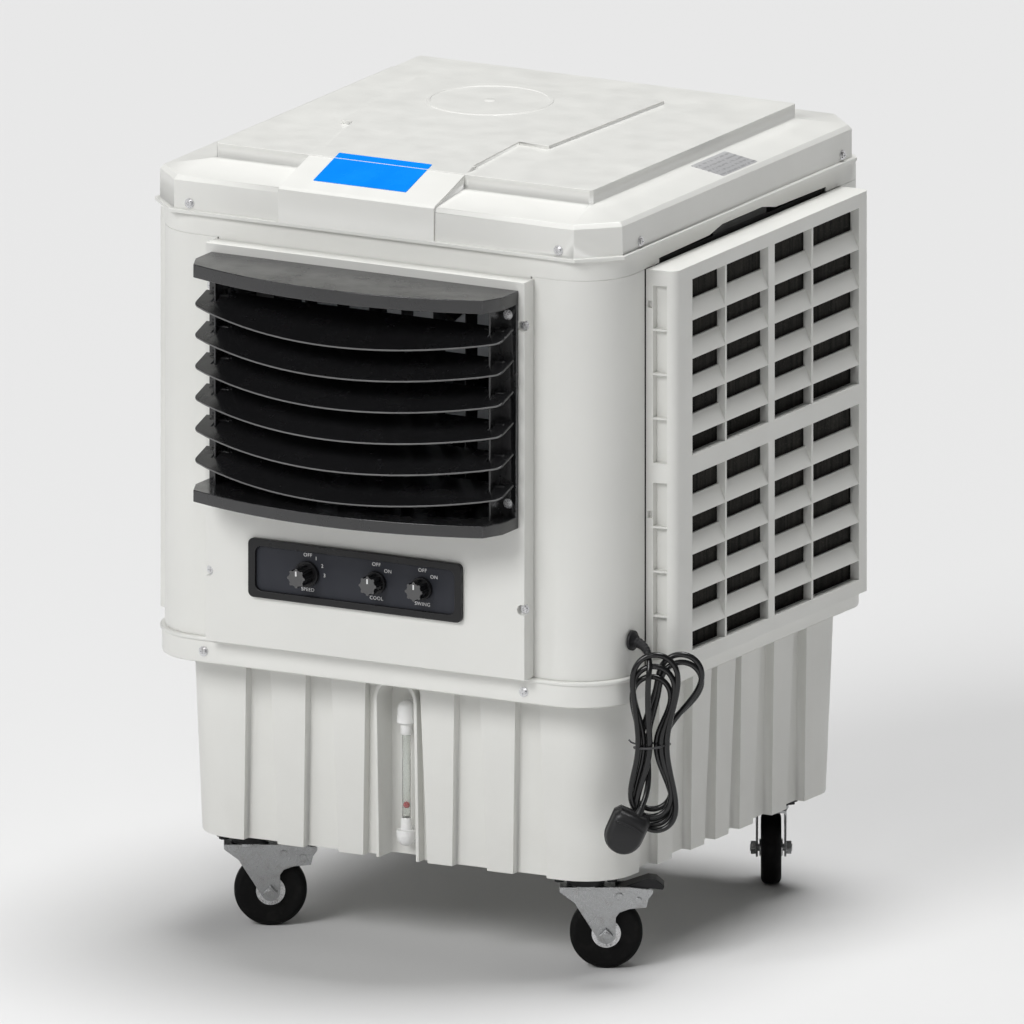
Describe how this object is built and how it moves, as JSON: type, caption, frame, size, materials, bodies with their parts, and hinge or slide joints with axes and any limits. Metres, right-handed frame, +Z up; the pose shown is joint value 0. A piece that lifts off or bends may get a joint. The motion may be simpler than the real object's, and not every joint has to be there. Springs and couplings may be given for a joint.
{
  "type": "mobile evaporative cooler",
  "caption": "Box-shaped evaporative air cooler on casters, with a ribbed water tank, louvred pad cassettes, a bowed black outlet louvre, control knobs and a water level gauge.",
  "frame": {"origin": "on the floor, at the centre of the footprint of the cooler without its cord", "axes": "+Z up, the air outlet and control panel face -Y, +X is the side that the mains cord hangs on"},
  "size_m": [0.8704, 0.944, 1.111],
  "materials": {
    "shell": "fine satin moulded plastic",
    "inner_plastic": "satin moulded plastic",
    "pad": "fluted impregnated paper",
    "fan_blade": "satin",
    "motor": "painted cast",
    "zinc": "zinc plated",
    "louvre": "semi-gloss charcoal",
    "panel": "fine texture",
    "knob": "semi-gloss black",
    "white_plastic": "gloss",
    "clear": "clear tube",
    "red_float": "gloss red",
    "tyre": "matt rubber",
    "black_plastic": "matt black",
    "cord": "semi-gloss PVC"
  },
  "bodies": {
    "cabinet": {"tank": "shell", "base_frame": "shell", "corner_posts": "shell", "top_rails": "shell", "front_cover": "shell", "fan_ring": "inner_plastic", "lid": "shell", "case_screws": "zinc", "cassette_right": "shell", "cassette_left": "shell", "cassette_rear": "shell", "cooling_pads": "pad", "water_distributor": "black_plastic", "pump": "black_plastic", "fan_motor": "motor", "motor_bracket": "zinc", "louvre_frame": "louvre", "swing_motor": "zinc", "control_bezel": "panel", "rotary_switches": "panel", "level_fittings": "white_plastic", "level_tube": "clear", "float_valve": "white_plastic", "drain_plug": "black_plastic", "caster_plates": "zinc", "cable_gland": "black_plastic", "cord_lead": "cord", "cord_hank": "cord", "plug": "cord"},
    "fan": {"fan": "fan_blade"},
    "vane_1": {"vane_1": "louvre"},
    "vane_2": {"vane_2": "louvre"},
    "vane_3": {"vane_3": "louvre"},
    "vane_4": {"vane_4": "louvre"},
    "vane_5": {"vane_5": "louvre"},
    "vane_6": {"vane_6": "louvre"},
    "vane_link": {"vane_link": "louvre"},
    "swing_vane_1": {"swing_vane_1": "louvre"},
    "swing_vane_2": {"swing_vane_2": "louvre"},
    "swing_vane_3": {"swing_vane_3": "louvre"},
    "swing_vane_4": {"swing_vane_4": "louvre"},
    "swing_vane_5": {"swing_vane_5": "louvre"},
    "swing_vane_6": {"swing_vane_6": "louvre"},
    "swing_vane_7": {"swing_vane_7": "louvre"},
    "swing_link": {"swing_link": "louvre"},
    "knob_speed": {"knob_speed": "knob"},
    "knob_cool": {"knob_cool": "knob"},
    "knob_swing": {"knob_swing": "knob"},
    "level_float": {"level_float": "red_float"},
    "float_arm": {"float_arm": "white_plastic"},
    "fork_1": {"fork_1": "zinc"},
    "wheel_1": {"wheel_1": "tyre"},
    "brake_pedal_1": {"brake_pedal_1": "black_plastic"},
    "fork_2": {"fork_2": "zinc"},
    "wheel_2": {"wheel_2": "tyre"},
    "brake_pedal_2": {"brake_pedal_2": "black_plastic"},
    "fork_3": {"fork_3": "zinc"},
    "wheel_3": {"wheel_3": "tyre"},
    "fork_4": {"fork_4": "zinc"},
    "wheel_4": {"wheel_4": "tyre"}
  },
  "joints": [
    {"name": "fan_spin", "type": "hinge", "parent": "cabinet", "child": "fan", "pos_m": [0, -0.218, 0.812], "axis": [0, 1, 0], "continuous": true},
    {"name": "vane_1_tilt", "type": "hinge", "parent": "cabinet", "child": "vane_1", "pos_m": [0, -0.373, 0.9275], "axis": [1, 0, 0], "range_deg": [-30, 5]},
    {"name": "vane_2_tilt", "type": "hinge", "parent": "cabinet", "child": "vane_2", "pos_m": [0, -0.373, 0.8835], "axis": [1, 0, 0], "range_deg": [-30, 5]},
    {"name": "vane_3_tilt", "type": "hinge", "parent": "cabinet", "child": "vane_3", "pos_m": [0, -0.373, 0.8395], "axis": [1, 0, 0], "range_deg": [-30, 5]},
    {"name": "vane_4_tilt", "type": "hinge", "parent": "cabinet", "child": "vane_4", "pos_m": [0, -0.373, 0.7955], "axis": [1, 0, 0], "range_deg": [-30, 5]},
    {"name": "vane_5_tilt", "type": "hinge", "parent": "cabinet", "child": "vane_5", "pos_m": [0, -0.373, 0.7515], "axis": [1, 0, 0], "range_deg": [-30, 5]},
    {"name": "vane_6_tilt", "type": "hinge", "parent": "cabinet", "child": "vane_6", "pos_m": [0, -0.373, 0.7075], "axis": [1, 0, 0], "range_deg": [-30, 5]},
    {"name": "vane_link_pivot", "type": "hinge", "parent": "vane_1", "child": "vane_link", "pos_m": [-0.2035, -0.36257, 0.93099], "axis": [1, 0, 0], "range_deg": [-5, 30]},
    {"name": "swing_vane_1_turn", "type": "hinge", "parent": "cabinet", "child": "swing_vane_1", "pos_m": [-0.15, -0.322, 0.811], "axis": [0, 0, 1], "range_deg": [-30, 30]},
    {"name": "swing_vane_2_turn", "type": "hinge", "parent": "cabinet", "child": "swing_vane_2", "pos_m": [-0.1, -0.322, 0.811], "axis": [0, 0, 1], "range_deg": [-30, 30]},
    {"name": "swing_vane_3_turn", "type": "hinge", "parent": "cabinet", "child": "swing_vane_3", "pos_m": [-0.05, -0.322, 0.811], "axis": [0, 0, 1], "range_deg": [-30, 30]},
    {"name": "swing_vane_4_turn", "type": "hinge", "parent": "cabinet", "child": "swing_vane_4", "pos_m": [0, -0.322, 0.811], "axis": [0, 0, 1], "range_deg": [-30, 30]},
    {"name": "swing_vane_5_turn", "type": "hinge", "parent": "cabinet", "child": "swing_vane_5", "pos_m": [0.05, -0.322, 0.811], "axis": [0, 0, 1], "range_deg": [-30, 30]},
    {"name": "swing_vane_6_turn", "type": "hinge", "parent": "cabinet", "child": "swing_vane_6", "pos_m": [0.1, -0.322, 0.811], "axis": [0, 0, 1], "range_deg": [-30, 30]},
    {"name": "swing_vane_7_turn", "type": "hinge", "parent": "cabinet", "child": "swing_vane_7", "pos_m": [0.15, -0.322, 0.811], "axis": [0, 0, 1], "range_deg": [-30, 30]},
    {"name": "swing_link_pivot", "type": "hinge", "parent": "swing_vane_1", "child": "swing_link", "pos_m": [-0.15, -0.31, 0.955], "axis": [0, 0, 1], "range_deg": [-30, 30]},
    {"name": "knob_speed_turn", "type": "hinge", "parent": "cabinet", "child": "knob_speed", "pos_m": [-0.088, -0.353, 0.546], "axis": [0, 1, 0], "range_deg": [0, 90]},
    {"name": "knob_cool_turn", "type": "hinge", "parent": "cabinet", "child": "knob_cool", "pos_m": [0.019, -0.353, 0.546], "axis": [0, 1, 0], "range_deg": [0, 45]},
    {"name": "knob_swing_turn", "type": "hinge", "parent": "cabinet", "child": "knob_swing", "pos_m": [0.091, -0.353, 0.546], "axis": [0, 1, 0], "range_deg": [0, 45]},
    {"name": "level_float_rise", "type": "slide", "parent": "cabinet", "child": "level_float", "axis": [0, 0, 1], "range_m": [0, 0.09]},
    {"name": "float_arm_lift", "type": "hinge", "parent": "cabinet", "child": "float_arm", "pos_m": [-0.294, 0.1815, 0.365], "axis": [0, 1, 0], "range_deg": [-42, 0]},
    {"name": "caster_1_swivel", "type": "hinge", "parent": "cabinet", "child": "fork_1", "pos_m": [-0.262, -0.1995, 0.116], "axis": [0, 0, 1], "continuous": true},
    {"name": "wheel_1_spin", "type": "hinge", "parent": "fork_1", "child": "wheel_1", "pos_m": [-0.23751, -0.18593, 0.05], "axis": [-0.4848, 0.8746, 0], "continuous": true},
    {"name": "brake_pedal_1_press", "type": "hinge", "parent": "fork_1", "child": "brake_pedal_1", "pos_m": [-0.22177, -0.1772, 0.104], "axis": [-0.4848, 0.8746, 0], "range_deg": [0, 8]},
    {"name": "caster_2_swivel", "type": "hinge", "parent": "cabinet", "child": "fork_2", "pos_m": [0.262, -0.1995, 0.116], "axis": [0, 0, 1], "continuous": true},
    {"name": "wheel_2_spin", "type": "hinge", "parent": "fork_2", "child": "wheel_2", "pos_m": [0.28649, -0.18593, 0.05], "axis": [-0.4848, 0.8746, 0], "continuous": true},
    {"name": "brake_pedal_2_press", "type": "hinge", "parent": "fork_2", "child": "brake_pedal_2", "pos_m": [0.30223, -0.1772, 0.104], "axis": [-0.4848, 0.8746, 0], "range_deg": [0, 8]},
    {"name": "caster_3_swivel", "type": "hinge", "parent": "cabinet", "child": "fork_3", "pos_m": [-0.262, 0.3305, 0.116], "axis": [0, 0, 1], "continuous": true},
    {"name": "wheel_3_spin", "type": "hinge", "parent": "fork_3", "child": "wheel_3", "pos_m": [-0.27558, 0.35499, 0.05], "axis": [-0.8746, -0.4848, 0], "continuous": true},
    {"name": "caster_4_swivel", "type": "hinge", "parent": "cabinet", "child": "fork_4", "pos_m": [0.262, 0.3305, 0.116], "axis": [0, 0, 1], "continuous": true},
    {"name": "wheel_4_spin", "type": "hinge", "parent": "fork_4", "child": "wheel_4", "pos_m": [0.24843, 0.35499, 0.05], "axis": [-0.8746, -0.4848, 0], "continuous": true}
  ],
  "couplings": [
    {"joint": "vane_2_tilt", "follows": "vane_1_tilt", "ratio": 1},
    {"joint": "vane_3_tilt", "follows": "vane_1_tilt", "ratio": 1},
    {"joint": "vane_4_tilt", "follows": "vane_1_tilt", "ratio": 1},
    {"joint": "vane_5_tilt", "follows": "vane_1_tilt", "ratio": 1},
    {"joint": "vane_6_tilt", "follows": "vane_1_tilt", "ratio": 1},
    {"joint": "vane_link_pivot", "follows": "vane_1_tilt", "ratio": -1},
    {"joint": "swing_vane_2_turn", "follows": "swing_vane_1_turn", "ratio": 1},
    {"joint": "swing_vane_3_turn", "follows": "swing_vane_1_turn", "ratio": 1},
    {"joint": "swing_vane_4_turn", "follows": "swing_vane_1_turn", "ratio": 1},
    {"joint": "swing_vane_5_turn", "follows": "swing_vane_1_turn", "ratio": 1},
    {"joint": "swing_vane_6_turn", "follows": "swing_vane_1_turn", "ratio": 1},
    {"joint": "swing_vane_7_turn", "follows": "swing_vane_1_turn", "ratio": 1},
    {"joint": "swing_link_pivot", "follows": "swing_vane_1_turn", "ratio": -1}
  ]
}
